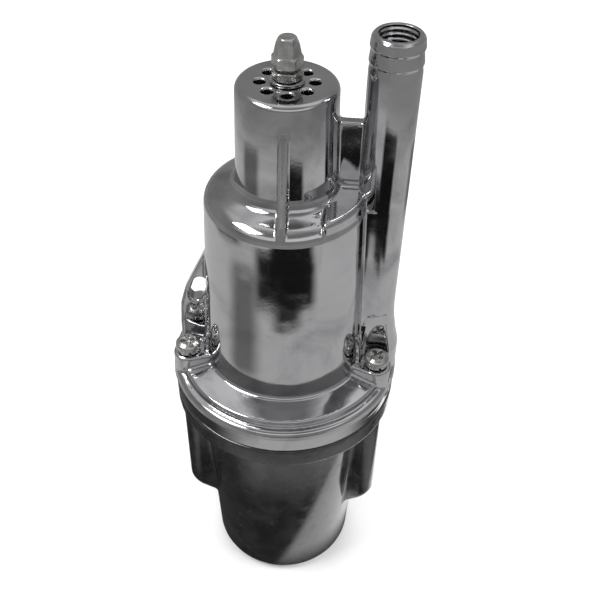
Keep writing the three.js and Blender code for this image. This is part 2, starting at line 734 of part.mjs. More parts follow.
function armature() {
  const halfX = CORE_LEG_X + CORE_LEG_WIDTH / 2;
  const bar = box([-halfX, -CORE_DEPTH / 2, ARMATURE_BOTTOM], [halfX, CORE_DEPTH / 2, ARMATURE_TOP]);
  return bar.subtract(cylinder(ROD_HOLE, ARMATURE_BOTTOM - 1, ARMATURE_TOP + 1, ROUND_COARSE));
}

function piston() {
  const bore = ROD_HOLE;
  const rimHeight = 3;
  return turned([
    [bore, PISTON_BOTTOM],
    [CLAMP_WASHER_RADIUS + 1, PISTON_BOTTOM],
    [PISTON_RADIUS - 1, PISTON_TOP - rimHeight],
    [PISTON_RADIUS, PISTON_TOP - rimHeight + 1],
    [PISTON_RADIUS, PISTON_TOP],
    [PISTON_RADIUS - 3, PISTON_TOP],
    [CLAMP_WASHER_RADIUS + 2, PISTON_TOP - 1.5],
    [CLAMP_WASHER_RADIUS + 1, PISTON_TOP],
    [bore, PISTON_TOP],
    [bore, PISTON_BOTTOM],
  ], ROUND_MEDIUM);
}

function clampWasher(bottom) {
  return ring(CLAMP_WASHER_RADIUS, ROD_HOLE, bottom, bottom + CLAMP_WASHER_HEIGHT, ROUND_COARSE + 4);
}

// ---------------------------------------------------------------- intake valve and its stud

const VALVE_RADIUS = 13.6;
const VALVE_TRAVEL = 1.5;
const PLATE_UNDERSIDE = NECK_TOP - INTAKE_PLATE;
const VALVE_TOP = PLATE_UNDERSIDE - FIT_GAP;
const VALVE_BOTTOM = VALVE_TOP - 3;
const STOP_WASHER_TOP = VALVE_BOTTOM - VALVE_TRAVEL - FIT_GAP;
const WASHER_HEIGHT = 1.2;
const STOP_WASHER_BOTTOM = STOP_WASHER_TOP - WASHER_HEIGHT;
const STOP_NUT_HEIGHT = 5;
const STOP_NUT_BOTTOM = STOP_WASHER_BOTTOM - FIT_GAP - STOP_NUT_HEIGHT;
const FACE_WASHER_BOTTOM = NECK_TOP + FIT_GAP;
const FACE_WASHER_TOP = FACE_WASHER_BOTTOM + WASHER_HEIGHT;
const JAM_NUT_BOTTOM = FACE_WASHER_TOP + FIT_GAP;
const JAM_NUT_HEIGHT = 3.2;
const CAP_NUT_BOTTOM = 269.5;
const CAP_NUT_TOP = 280.1;
const STUD_NUT_FLATS = 10;

function intakeValve() {
  return turned([
    [STUD_RADIUS + FIT_GAP, VALVE_BOTTOM],
    [6, VALVE_BOTTOM],
    [VALVE_RADIUS - 1, VALVE_TOP - 1.6],
    [VALVE_RADIUS, VALVE_TOP - 1],
    [VALVE_RADIUS, VALVE_TOP],
    [STUD_RADIUS + FIT_GAP, VALVE_TOP],
    [STUD_RADIUS + FIT_GAP, VALVE_BOTTOM],
  ], ROUND_MEDIUM);
}

function valveStud() {
  const bottom = STOP_NUT_BOTTOM - 0.8;
  const top = CAP_NUT_BOTTOM + 6;
  return turned([
    [0, bottom],
    [STUD_RADIUS - 0.5, bottom],
    [STUD_RADIUS, bottom + 0.5],
    [STUD_RADIUS, top - 0.6],
    [STUD_RADIUS - 0.6, top],
    [0, top],
  ], ROUND_COARSE);
}

function studWasher(radius, bottom, top) {
  return ring(radius, STUD_HOLE, bottom, top, ROUND_COARSE);
}

function studNut(bottom, height) {
  return hexagonalNut(STUD_NUT_FLATS, STUD_HOLE, bottom, height);
}

// A domed nut: a hexagon below, tapering flats above it and a rounded crown.
function capNut() {
  const corner = STUD_NUT_FLATS / 2 / Math.cos(Math.PI / 6);
  const hexagonHeight = 4;
  const taperTop = CAP_NUT_TOP - 2.6;
  const hexagon = turned([
    [0, CAP_NUT_BOTTOM],
    [corner, CAP_NUT_BOTTOM],
    [corner, CAP_NUT_BOTTOM + hexagonHeight],
    [corner - 0.9, CAP_NUT_BOTTOM + hexagonHeight + 0.3],
    [3.9, taperTop],
    [0, taperTop],
  ], 6);
  const crown = turned([
    [0, taperTop - 1],
    [3.5, taperTop - 1],
    ...arc([0.6, taperTop - 0.4], 3, 10, 90, 4),
    [0, CAP_NUT_TOP],
  ], ROUND_COARSE);
  const rounding = turned([
    [0, CAP_NUT_BOTTOM],
    [corner - 0.5, CAP_NUT_BOTTOM],
    [corner, CAP_NUT_BOTTOM + 0.6],
    [corner, CAP_NUT_TOP + 1],
    [0, CAP_NUT_TOP + 1],
  ], ROUND_COARSE + 4);
  const socket = cylinder(STUD_RADIUS + 0.2, CAP_NUT_BOTTOM - 1, CAP_NUT_BOTTOM + 7, ROUND_COARSE);
  return cut(hexagon.add(crown).intersect(rounding), [socket]);
}

// ---------------------------------------------------------------- screws

const WASHER_BOTTOM = LUG_TOP + FIT_GAP;
const HEAD_BOTTOM = WASHER_BOTTOM + SPRING_WASHER_HEIGHT + FIT_GAP;

function housingScrew([x, y]) {
  const top = HEAD_BOTTOM + SCREW_HEAD_HEIGHT;
  const body = turned([
    [0, SCREW_TIP],
    [SCREW_RADIUS - 0.8, SCREW_TIP],
    [SCREW_RADIUS, SCREW_TIP + 1],
    [SCREW_RADIUS, HEAD_BOTTOM],
    [SCREW_HEAD_RADIUS, HEAD_BOTTOM],
    [SCREW_HEAD_RADIUS, HEAD_BOTTOM + 1.8],
    [SCREW_HEAD_RADIUS - 1, top - 0.5],
    [SCREW_HEAD_RADIUS - 2.6, top],
    [0, top],
  ], ROUND_COARSE);
  const recessDepth = 1.8;
  const slot = box([-3, -0.65, top - recessDepth], [3, 0.65, top + 1]);
  const recess = slot.add(slot.rotate([0, 0, 90])).rotate([0, 0, 35]);
  return body.subtract(recess).translate([x, y, 0]);
}

// A spring washer is a split ring.
function springWasher([x, y]) {
  const outer = 4.9;
  const inner = 3.2;
  const top = WASHER_BOTTOM + SPRING_WASHER_HEIGHT;
  const washer = ring(outer, inner, WASHER_BOTTOM, top, ROUND_COARSE);
  const splitWidth = 0.7;
  const split = box(
    [inner - 1, -splitWidth / 2, WASHER_BOTTOM - 1], [outer + 1, splitWidth / 2, top + 1],
  ).rotate([0, 0, -70]);
  return washer.subtract(split).translate([x, y, 0]);
}

// ---------------------------------------------------------------- scene graph

const pump = new THREE.Group();

function addPiece(name, manifold, material) {
  const { vertProperties, triVerts, numProp } = manifold.getMesh();
  const places = new Float32Array(vertProperties.length / numProp * 3);
  for (let i = 0; i < places.length / 3; i += 1) {
    places.set(vertProperties.subarray(i * numProp, i * numProp + 3), i * 3);
  }
  const geometry = new THREE.BufferGeometry();
  geometry.setAttribute('position', new THREE.BufferAttribute(places, 3));
  geometry.setIndex(new THREE.BufferAttribute(new Uint32Array(triVerts), 1));
  geometry.computeVertexNormals();
  const mesh = new THREE.Mesh(geometry, material);
  mesh.name = name;
  pump.add(mesh);
}

addPiece('pump_casing', pumpCasing(), CHROME);
addPiece('magnet_housing', magnetHousing(), BLACK_ENAMEL);
addPiece('cable_gland', cableGland(), BLACK_RUBBER);

addPiece('magnet_core', magnetCore(), CORE_STEEL);
addPiece('potting_compound', pottingCompound(), COMPOUND);
for (const [side, sign] of [['left', -1], ['right', 1]]) {
  addPiece(`coil_bobbin_${side}`, coilBobbin(sign), NYLON);
  addPiece(`coil_${side}`, coil(sign), COPPER);
}

addPiece('shock_absorber', shockAbsorber(), BLACK_RUBBER);
addPiece('spacer_ring', spacerRing(), NYLON);
addPiece('diaphragm', diaphragm(), BLACK_RUBBER);

addPiece('rod', rod(), PLAIN_STEEL);
addPiece('armature', armature(), CORE_STEEL);
addPiece('armature_nut', hexagonalNut(NUT_FLATS, ROD_HOLE, LOWER_NUT_BOTTOM, LOWER_NUT_HEIGHT), ZINC_STEEL);
addPiece('rod_collar_lower', rodCollar(ABSORBER_BOTTOM - FIT_GAP - COLLAR_HEIGHT), PLAIN_STEEL);
addPiece('rod_collar_upper', rodCollar(COLLAR_BOTTOM), PLAIN_STEEL);
addPiece('piston', piston(), BLACK_RUBBER);
addPiece('piston_washer_lower', clampWasher(PISTON_BOTTOM - FIT_GAP - CLAMP_WASHER_HEIGHT), ZINC_STEEL);
addPiece('piston_washer_upper', clampWasher(PISTON_TOP + FIT_GAP), ZINC_STEEL);
addPiece('piston_nut', hexagonalNut(NUT_FLATS, ROD_HOLE, PISTON_NUT_BOTTOM, NUT_HEIGHT), ZINC_STEEL);
addPiece('piston_lock_nut', hexagonalNut(NUT_FLATS, ROD_HOLE, LOCK_NUT_BOTTOM, LOCK_NUT_HEIGHT), ZINC_STEEL);

addPiece('intake_valve', intakeValve(), BLACK_RUBBER);
addPiece('valve_stud', valveStud(), ZINC_STEEL);
addPiece('valve_stop_washer', studWasher(7, STOP_WASHER_BOTTOM, STOP_WASHER_TOP), ZINC_STEEL);
addPiece('valve_stop_nut', studNut(STOP_NUT_BOTTOM, STOP_NUT_HEIGHT), ZINC_STEEL);
addPiece('face_washer', studWasher(6.2, FACE_WASHER_BOTTOM, FACE_WASHER_TOP), ZINC_STEEL);
addPiece('stud_jam_nut', studNut(JAM_NUT_BOTTOM, JAM_NUT_HEIGHT), ZINC_STEEL);
addPiece('cap_nut', capNut(), ZINC_STEEL);

for (const [place, centre] of Object.entries(SCREW_PLACES)) {
  addPiece(`housing_screw_${place}`, housingScrew(centre), ZINC_STEEL);
  addPiece(`spring_washer_${place}`, springWasher(centre), PLAIN_STEEL);
}

export default pump;
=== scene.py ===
"""Looks of the vibratory well pump: a chromed casting on a black magnet housing, built around the CAD model.

The castings, nuts and screws are shaped as signed distance fields in millimetres, where joins get smooth
fillets, and are turned into meshes on a grid. Everything keeps the places and sizes of the CAD nodes.
"""

import json
import math

import bpy
import numpy as np
from mathutils import Matrix, Vector


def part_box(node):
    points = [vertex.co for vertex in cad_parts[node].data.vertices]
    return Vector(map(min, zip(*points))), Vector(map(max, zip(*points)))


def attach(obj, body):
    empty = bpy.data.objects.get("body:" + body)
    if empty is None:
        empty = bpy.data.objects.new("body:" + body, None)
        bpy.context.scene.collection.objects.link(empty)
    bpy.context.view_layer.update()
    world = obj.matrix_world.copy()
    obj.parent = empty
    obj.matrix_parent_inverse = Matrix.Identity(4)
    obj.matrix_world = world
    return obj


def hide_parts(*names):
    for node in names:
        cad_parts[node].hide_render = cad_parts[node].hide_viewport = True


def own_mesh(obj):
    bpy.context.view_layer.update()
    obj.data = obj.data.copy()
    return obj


MM = 0.001

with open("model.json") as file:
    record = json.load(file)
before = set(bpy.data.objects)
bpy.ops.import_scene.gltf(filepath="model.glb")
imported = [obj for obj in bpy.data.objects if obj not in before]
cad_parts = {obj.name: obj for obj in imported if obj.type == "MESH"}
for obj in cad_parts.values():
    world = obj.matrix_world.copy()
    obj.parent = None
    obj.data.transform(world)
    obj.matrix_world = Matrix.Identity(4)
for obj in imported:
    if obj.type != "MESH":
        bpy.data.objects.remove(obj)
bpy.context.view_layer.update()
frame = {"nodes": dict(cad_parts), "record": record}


def node_box(node):
    """Lowest and highest corner of a CAD node, in millimetres."""
    low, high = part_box(node)
    return np.array(low) / MM, np.array(high) / MM


# ------------------------------------------------------------------ sizes, in millimetres

# Taken from the frame

casing_low, casing_high = node_box("pump_casing")
JOINT = casing_low[2]                    # underside of the casing flange
FLANGE_RADIUS = (casing_high[0] - casing_low[0]) / 2
PIPE_TOP = casing_high[2]
HOUSING_TOP = node_box("magnet_housing")[1][2]

SCREW_PLACES = ("front_left", "back_left", "front_right", "back_right")


def node_centre(node):
    low, high = node_box(node)
    return (low + high) / 2


screw_centres = {place: node_centre("housing_screw_" + place) for place in SCREW_PLACES}
screw_circle = math.hypot(*screw_centres["back_right"][:2])
LUG_TOP = node_box("spring_washer_front_left")[0][2] - 0.3
NECK_TOP = node_box("face_washer")[0][2] - 0.3

# The rest of the casting follows the sizes of the CAD model
RIM_TOP = 131.4
BARREL_FOOT_RADIUS = 34.3
BARREL_TOP_RADIUS = 31.9
BARREL_TOP = 219.6
NECK_FOOT_RADIUS = 19.5
NECK_TOP_RADIUS = 18.6
INTAKE_PLATE = 4.5
INTAKE_HOLES = 8
INTAKE_CIRCLE = 9.7
INTAKE_HOLE_RADIUS = 2.05
INTAKE_START = 5                         # bearing of the first hole, in degrees
PIPE_X = 36.8
PIPE_RADIUS = 9.4
PIPE_BORE = 6.6
LUG_RADIUS = 6.4
SCREW_HOLE = 3.3
SCREW_RADIUS = 2.9
SCREW_HEAD_RADIUS = 5.3
SCREW_HEAD_HEIGHT = 3.6
ROPE_SLOT_ENDS = ((-38.2, 162.5), (-35.8, 169.5))        # (x, z)
ROPE_SLOT_RADIUS = 3
STUD_RADIUS = 2.9
STUD_HOLE = 3.2
STUD_NUT_FLATS = 10


# ------------------------------------------------------------------ signed distance fields

def cone(low, high, radius_low, radius_high, rounding=0.0, centre=(0.0, 0.0)):
    """An upright round bar from low to high, which may taper, with rounded end edges."""
    half = (high - low) / 2 - rounding
    middle = (high + low) / 2
    lower, upper = radius_low - rounding, radius_high - rounding
    lean = upper - lower
    length = lean * lean + 4 * half * half

    def field(x, y, z):
        r = np.sqrt((x - centre[0]) ** 2 + (y - centre[1]) ** 2)
        h = z - middle
        cap_r = r - np.minimum(r, np.where(h < 0, lower, upper))
        cap_h = np.abs(h) - half
        along = np.clip(((upper - r) * lean + (half - h) * 2 * half) / length, 0, 1)
        side_r = r - upper + lean * along
        side_h = h - half + 2 * half * along
        sign = np.where((side_r < 0) & (cap_h < 0), -1.0, 1.0)
        nearest = np.minimum(cap_r**2 + cap_h**2, side_r**2 + side_h**2)
        return sign * np.sqrt(nearest) - rounding

    return field


def bar(low, high, rounding=0.0):
    """A box from corner to corner with rounded edges."""
    centre = [(a + b) / 2 for a, b in zip(low, high)]
    half = [(b - a) / 2 - rounding for a, b in zip(low, high)]

    def field(x, y, z):
        dx = np.abs(x - centre[0]) - half[0]
        dy = np.abs(y - centre[1]) - half[1]
        dz = np.abs(z - centre[2]) - half[2]
        outside = np.sqrt(np.maximum(dx, 0) ** 2 + np.maximum(dy, 0) ** 2 + np.maximum(dz, 0) ** 2)
        return outside + np.minimum(np.maximum(np.maximum(dx, dy), dz), 0) - rounding

    return field


def polygon_distance(points, u, v):
    """Signed distance in a plane to a closed polygon."""
    nearest = None
    inside = np.zeros(np.broadcast(u, v).shape, bool)
    for (u0, v0), (u1, v1) in zip(points, points[1:] + points[:1]):
        eu, ev = u1 - u0, v1 - v0
        du, dv = u - u0, v - v0
        t = np.clip((du * eu + dv * ev) / (eu * eu + ev * ev), 0, 1)
        distance = (du - eu * t) ** 2 + (dv - ev * t) ** 2
        nearest = distance if nearest is None else np.minimum(nearest, distance)
        if v0 != v1:
            crosses = (v0 > v) != (v1 > v)
            inside ^= crosses & (u < u0 + eu * (v - v0) / (v1 - v0))
    return np.where(inside, -1.0, 1.0) * np.sqrt(nearest)


def plate(points, thickness, rounding=0.0, degrees=0.0):
    """A side outline in the radial plane at this bearing, thick across it."""
    cos, sin = math.cos(math.radians(degrees)), math.sin(math.radians(degrees))

    def field(x, y, z):
        along = x * cos + y * sin
        across = np.abs(y * cos - x * sin) - thickness / 2 + rounding
        outline = polygon_distance(points, along, z) + rounding
        outside = np.sqrt(np.maximum(outline, 0) ** 2 + np.maximum(across, 0) ** 2)
        return outside + np.minimum(np.maximum(outline, across), 0) - rounding

    return field


def turned(points, rounding=0.0, centre=(0.0, 0.0)):
    """A closed outline of (radius, height) points spun about the upright line through centre."""

    def field(x, y, z):
        r = np.sqrt((x - centre[0]) ** 2 + (y - centre[1]) ** 2)
        return polygon_distance(points, r, z) - rounding

    return field


def union(first, *others, fillet):
    """Joins fields with a smooth fillet."""

    def field(x, y, z):
        total = first(x, y, z)
        for other in others:
            distance = other(x, y, z)
            mix = np.clip(0.5 + 0.5 * (distance - total) / fillet, 0, 1)
            total = distance + (total - distance) * mix - fillet * mix * (1 - mix)
        return total

    return field


def cut(body, *tools, edge):
    """Takes tools out of a body and rounds the edge they leave."""
    hollow = union(*tools, fillet=0.01) if len(tools) > 1 else tools[0]

    def field(x, y, z):
        solid = body(x, y, z)
        gap = -hollow(x, y, z)
        mix = np.clip(0.5 - 0.5 * (gap - solid) / edge, 0, 1)
        return gap + (solid - gap) * mix + edge * mix * (1 - mix)

    return field


def common(first, *others, edge):
    """What the fields share, with rounded edges."""

    def field(x, y, z):
        total = first(x, y, z)
        for other in others:
            distance = other(x, y, z)
            mix = np.clip(0.5 - 0.5 * (distance - total) / edge, 0, 1)
            total = distance + (total - distance) * mix + edge * mix * (1 - mix)
        return total

    return field


HEXAGON_NORMALS = [(math.cos(math.radians(a)), math.sin(math.radians(a))) for a in (30, 90, 150)]


def hexagon_sides(x, y, half_flats):
    """Distance past the nearest side of a hexagon with corners along X."""
    sides = [np.abs(x * nx + y * ny) - half_flats for nx, ny in HEXAGON_NORMALS]
    return np.maximum(np.maximum(sides[0], sides[1]), sides[2])


def hexagon(flats, low, high):
    """An upright hexagonal prism, with corners along X."""

    def field(x, y, z):
        ends = np.abs(z - (low + high) / 2) - (high - low) / 2
        return np.maximum(hexagon_sides(x, y, flats / 2), ends)

    return field


def moved(body, dx, dy, degrees=0.0):
    """Turns a body about the upright axis and then shifts it."""
    cos, sin = math.cos(math.radians(degrees)), math.sin(math.radians(degrees))

    def field(x, y, z):
        px, py = x - dx, y - dy
        return body(px * cos + py * sin, py * cos - px * sin, z)

    return field


# ------------------------------------------------------------------ meshing

def stations(*stretches):
    """Grid lines along one axis. Each stretch is (end, step); the first holds only the start."""
    lines = [stretches[0]]
    for end, step in stretches[1:]:
        count = max(1, round((end - lines[-1]) / step))
        start = lines[-1]
        lines += [start + (end - start) * i / count for i in range(1, count + 1)]
    return np.array(lines)


def slope(field, points):
    """Gradient of a field at points, by central differences."""
    step = 0.02
    grad = np.empty_like(points)
    for axis in range(3):
        ahead, behind = points.copy(), points.copy()
        ahead[:, axis] += step
        behind[:, axis] -= step
        grad[:, axis] = (field(*ahead.T) - field(*behind.T)) / (2 * step)
    return grad


def onto_surface(field, points, rounds, reach):
    """Moves points to where the field is zero, by at most reach in each round."""
    for _ in range(rounds):
        grad = slope(field, points)
        size = np.maximum((grad**2).sum(1), 0.05)
        move = grad * (field(*points.T) / size)[:, None]
        length = np.linalg.norm(move, axis=1, keepdims=True)
        points = points - move * np.minimum(1, reach / np.maximum(length, 1e-9))
    return points


CORNERS = [(i, j, k) for i in (0, 1) for j in (0, 1) for k in (0, 1)]
CELL_EDGES = [
    (a, b)
    for a in range(8)
    for b in range(a + 1, 8)
    if sum(abs(p - q) for p, q in zip(CORNERS[a], CORNERS[b])) == 1
]


def grid_surface(field, xs, ys, zs):
    """Points and quads of the surface where the field is zero, with one point in each cell it crosses."""
    lines = (xs, ys, zs)
    value = field(xs[:, None, None], ys[None, :, None], zs[None, None, :])
    value = np.ascontiguousarray(np.broadcast_to(value, (len(xs), len(ys), len(zs))))
    inside = value < 0
    cells = tuple(len(line) - 1 for line in lines)
    filled = np.zeros(cells, np.int8)
    for i, j, k in CORNERS:
        filled += inside[i : i + cells[0], j : j + cells[1], k : k + cells[2]]
    where = np.argwhere((filled > 0) & (filled < 8))
    number = np.full(cells, -1, np.int64)
    number[tuple(where.T)] = np.arange(len(where))

    corner_places = []
    corner_values = []
    for corner in CORNERS:
        at = where + np.array(corner)
        corner_places.append(np.stack([line[at[:, axis]] for axis, line in enumerate(lines)], 1))
        corner_values.append(value[tuple(at.T)])
    total = np.zeros((len(where), 3))
    count = np.zeros(len(where))
    for a, b in CELL_EDGES:
        crossed = (corner_values[a] < 0) != (corner_values[b] < 0)
        fall = np.where(crossed, corner_values[a] - corner_values[b], 1)
        share = np.where(crossed, corner_values[a] / fall, 0)
        point = corner_places[a] + (corner_places[b] - corner_places[a]) * share[:, None]
        total += point * crossed[:, None]
        count += crossed
    points = total / count[:, None]

    quads = []
    for axis in range(3):
        first, second = [other for other in range(3) if other != axis]
        low = [slice(1, n) for n in cells]
        low[axis] = slice(0, cells[axis])
        high = list(low)
        high[axis] = slice(1, cells[axis] + 1)
        start, end = inside[tuple(low)], inside[tuple(high)]
        for out, reverse in ((start & ~end, axis == 1), (~start & end, axis != 1)):
            at = np.argwhere(out)
            for other in (first, second):
                at[:, other] += 1
            ring = []
            for back_first, back_second in ((1, 1), (0, 1), (0, 0), (1, 0)):
                cell = at.copy()
                cell[:, first] -= back_first
                cell[:, second] -= back_second
                ring.append(number[tuple(cell.T)])
            quad = np.stack(ring, 1)
            quads.append(quad[:, ::-1] if reverse else quad)
    return points, np.concatenate(quads)


def evened(field, points, quads, rounds, reach):
    """Slides the points along the surface so that the quads grow even."""
    for _ in range(rounds):
        total = np.zeros_like(points)
        count = np.zeros(len(points))
        for a in range(4):
            here, after = quads[:, a], quads[:, (a + 1) % 4]
            for one, other in ((here, after), (after, here)):
                for axis in range(3):
                    total[:, axis] += np.bincount(one, points[other, axis], len(points))
                count += np.bincount(one, minlength=len(points))
        points = points * 0.5 + total / count[:, None] * 0.5
        points = onto_surface(field, points, 1, reach)
    return points


def cast(name, field, xs, ys, zs, even=2):
    """A smooth mesh object of the field, in metres."""
    points, quads = grid_surface(field, xs, ys, zs)
    reach = min(np.diff(xs).min(), np.diff(zs).min())
    points = onto_surface(field, points, 3, reach)
    points = evened(field, points, quads, even, reach)
    points = onto_surface(field, points, 2, reach)
    normals = slope(field, points)
    normals /= np.maximum(np.linalg.norm(normals, axis=1, keepdims=True), 1e-9)
    mesh = bpy.data.meshes.new(name)
    mesh.from_pydata((points * MM).tolist(), [], quads.tolist())
    mesh.shade_smooth()
    mesh.normals_split_custom_set_from_vertices(normals.tolist())
    made = bpy.data.objects.new(name, mesh)
    bpy.context.scene.collection.objects.link(made)
    return made


# ------------------------------------------------------------------ pump casing

FINE = 1.0


def arm(reach, radius, low, high, rounding, degrees):
    """A block from the axis outwards, with a round end at this reach."""
    block = bar((reach - 12, -radius, low), (reach, radius, high), rounding)
    end = cone(low, high, radius, radius, rounding, centre=(reach, 0))
    return moved(union(block, end, fillet=0.05), 0, 0, degrees)


def screw_bearings():
    return {
        place: math.degrees(math.atan2(centre[1], centre[0])) for place, centre in screw_centres.items()
    }


def casing_outside():
    bead = cone(JOINT + 3.5, RIM_TOP, FLANGE_RADIUS - 0.5, FLANGE_RADIUS, 2.4)
    skirt = cone(JOINT, RIM_TOP - 3, FLANGE_RADIUS - 0.7, FLANGE_RADIUS, 0.7)
    deck = turned([(-5, 125), (44.7, 125), (44.7, 133.6), (33, 135.9), (-5, 135.9)], 1.2)
    barrel = cone(128, BARREL_TOP, BARREL_FOOT_RADIUS + 0.5, BARREL_TOP_RADIUS, 5.5)
    shoulder = turned([(-8, 208), (24.5, 208), (25.2, 217.6), (18, 222.2), (-8, 222.2)], 1.5)
    neck = cone(212, NECK_TOP, NECK_FOOT_RADIUS + 0.2, NECK_TOP_RADIUS, 2.6)
    body = union(bead, skirt, deck, fillet=0.7)
    body = union(body, barrel, fillet=1.6)
    body = union(body, shoulder, fillet=3.5)

    roof = cone(200, 222.6, 31.6, 31.4, 2.0)
    pipe_side = bar((15.8, -40, 190), (45, 40, 230), 0.1)
    roof = common(roof, pipe_side, edge=1.6)
    bridge = bar((20, -8.8, 125), (PIPE_X, 8.8, 217), 1.0)
    roof_bridge = bar((20, -7.4, 200), (PIPE_X, 7.4, 222.2), 1.4)
    body = union(body, roof, bridge, roof_bridge, fillet=1.1)
    body = union(body, neck, fillet=3.2)

    web = plate([(14, 212), (PIPE_X - 3, 212), (PIPE_X - 3, 250), (14, 250)], 4.5, 0.9)
    fin_outline = [
        (14, 210), (30.4, 210), (30.4, 218.5), (29.2, 221.6), (19.8, NECK_TOP - 11.5),
        (16.6, NECK_TOP - 4.5), (14, NECK_TOP - 4.5),
    ]
    fins = [plate(fin_outline, 3.4, 1.2, degrees) for degrees in (-88, 88)]
    body = union(body, web, fillet=1.5)
    body = union(body, *fins, fillet=0.9)

    rib_outline = [(28, 138), (36.6, 138), (36.6, 144), (34, 154), (30, 157), (28, 157)]
    for degrees in screw_bearings().values():
        lug = arm(screw_circle, LUG_RADIUS, 125, LUG_TOP, 1.0, degrees)
        rib = plate(rib_outline, 5, 1.0, degrees)
        body = union(body, lug, rib, fillet=1.3)
    eye_outline = [
        (26, 128), (26, 188), (32.9, 187), (43, 165), (45.2, 157), (46, 146), (46.2, 128),
    ]
    eye = plate(eye_outline, 6, 1.2, 180)
    body = union(body, eye, fillet=1.4)
    return union(body, outlet_pipe(), fillet=0.7)


def outlet_pipe():
    """The pipe on its flared foot, with two low barbs near the top."""
    lip = 0.25
    foot = [(-5, 125), (12.4, 125), (12.4, 143), (10.8, 150), (9.6, 158), (PIPE_RADIUS - lip, 165)]
    barbs = [(PIPE_RADIUS - lip, PIPE_TOP - 13)]
    for step in (PIPE_TOP - 9.8, PIPE_TOP - 4.4):
        barbs += [(PIPE_RADIUS - 0.65, step - 0.6), (PIPE_RADIUS - 0.1, step + 0.3)]
    rim = [(PIPE_RADIUS - 0.5, PIPE_TOP - 1.2), (PIPE_RADIUS - 1.3, PIPE_TOP - lip), (-5, PIPE_TOP - lip)]
    return turned(foot + barbs + rim, lip, (PIPE_X, 0))


def pipe_bore():
    """The bore, with shallow turned grooves inside its mouth."""
    plain = cone(150, PIPE_TOP + 5, PIPE_BORE, PIPE_BORE, 0, (PIPE_X, 0))

    def field(x, y, z):
        groove = 0.22 * (1 - np.cos(2 * math.pi * (z - PIPE_TOP) / 1.9))
        return plain(x, y, z) - groove * np.clip((z - PIPE_TOP + 14) / 3, 0, 1)

    return field


def casing_field():
    pockets = []
    holes = []
    for centre in screw_centres.values():
        pockets.append(cone(LUG_TOP, LUG_TOP + 22, 7, 7, 0.2, centre[:2]))
        holes.append(cone(JOINT - 5, LUG_TOP + 2, SCREW_HOLE, SCREW_HOLE, 0, centre[:2]))
    body = cut(casing_outside(), *pockets, edge=1.0)

    chamber = turned([
        (-8, 110), (36.9, 110), (36.9, 130.8), (20, 130.8), (20, 136), (28, 140), (28, 204),
        (25.5, 210), (15.4, 216), (15.4, NECK_TOP - INTAKE_PLATE), (-8, NECK_TOP - INTAKE_PLATE),
    ])
    duct = bar((22, -4.6, 152), (PIPE_X, 4.6, 180))

    def rope_slot(x, y, z):
        (x0, z0), (x1, z1) = ROPE_SLOT_ENDS
        dx, dz = x1 - x0, z1 - z0
        t = np.clip(((x - x0) * dx + (z - z0) * dz) / (dx * dx + dz * dz), 0, 1)
        return np.sqrt((x - x0 - dx * t) ** 2 + (z - z0 - dz * t) ** 2) - ROPE_SLOT_RADIUS + 0 * y

    body = cut(body, chamber, pipe_bore(), duct, *holes, edge=0.5)
    body = cut(body, rope_slot, edge=1.2)
    intake = [cone(NECK_TOP - 10, NECK_TOP + 5, STUD_HOLE, STUD_HOLE)]
    for i in range(INTAKE_HOLES):
        angle = math.radians(INTAKE_START + i * 360 / INTAKE_HOLES)
        centre = (INTAKE_CIRCLE * math.cos(angle), INTAKE_CIRCLE * math.sin(angle))
        intake.append(cone(NECK_TOP - 10, NECK_TOP + 5, INTAKE_HOLE_RADIUS, INTAKE_HOLE_RADIUS, 0, centre))
    return cut(body, *intake, edge=1.0)


def cast_casing():
    reach = FLANGE_RADIUS + 1
    across = stations(-reach, (-13, 0.85 * FINE), (13, 0.6 * FINE), (reach, 0.85 * FINE))
    heights = stations(
        JOINT - 0.7, (137, 0.6 * FINE), (210, 1.0 * FINE), (228, 0.7 * FINE), (258, 0.9 * FINE),
        (270, 0.6 * FINE), (PIPE_TOP + 0.8, 0.45 * FINE),
    )
    return cast("casing_casting", casing_field(), across, across, heights)


# ------------------------------------------------------------------ magnet housing

CUP_FOOT_RADIUS = 34
CUP_TOP_RADIUS = 38.3
CUP_HEIGHT = 110
CUP_WALL = 4
CUP_FLOOR = 6
BOSS_FOOT = 42
BOSS_RADIUS = 5.2
INLET_HEIGHT = 98


def cup_radius(height):
    return CUP_FOOT_RADIUS + (CUP_TOP_RADIUS - CUP_FOOT_RADIUS) * height / CUP_HEIGHT


def round_along_y(low, high, radius, height, rounding=0.0):
    body = cone(low, high, radius, radius, rounding)

    def field(x, y, z):
        return body(x, z - height, y)

    return field


def housing_field():
    cup = cone(0, 118, CUP_FOOT_RADIUS + 0.2, cup_radius(118), 6)
    flange = cone(CUP_HEIGHT, HOUSING_TOP, FLANGE_RADIUS - 0.4, FLANGE_RADIUS - 0.3, 1.1)
    body = union(cup, flange, fillet=2.5)

    def above_slope(x, y, z):
        return (BOSS_FOOT - 1 + (x - screw_circle + 7) - z) * 0.71 + 0 * y

    for degrees in screw_bearings().values():
        column = arm(screw_circle - 0.6, BOSS_RADIUS, BOSS_FOOT - 6, 115, 0.5, 0)
        boss = moved(common(column, above_slope, edge=1.6), 0, 0, degrees)
        body = union(body, boss, fillet=2.2)
    inlet = round_along_y(30, 48, 8, INLET_HEIGHT, 1.0)
    body = union(body, inlet, fillet=2.5)

    ledge = 112.6
    hollow = turned([
        (-8, CUP_FLOOR), (cup_radius(CUP_FLOOR) - CUP_WALL - 3, CUP_FLOOR),
        (cup_radius(CUP_FLOOR + 3) - CUP_WALL, CUP_FLOOR + 3),
        (cup_radius(ledge) - CUP_WALL, ledge), (36.9, ledge), (36.9, 130), (-8, 130),
    ])
    holes = [cone(82, 130, SCREW_HOLE, SCREW_HOLE, 0, centre[:2]) for centre in screw_centres.values()]
    cable_hole = round_along_y(20, 60, 5.7, INLET_HEIGHT)
    return cut(body, hollow, cable_hole, *holes, edge=0.5)


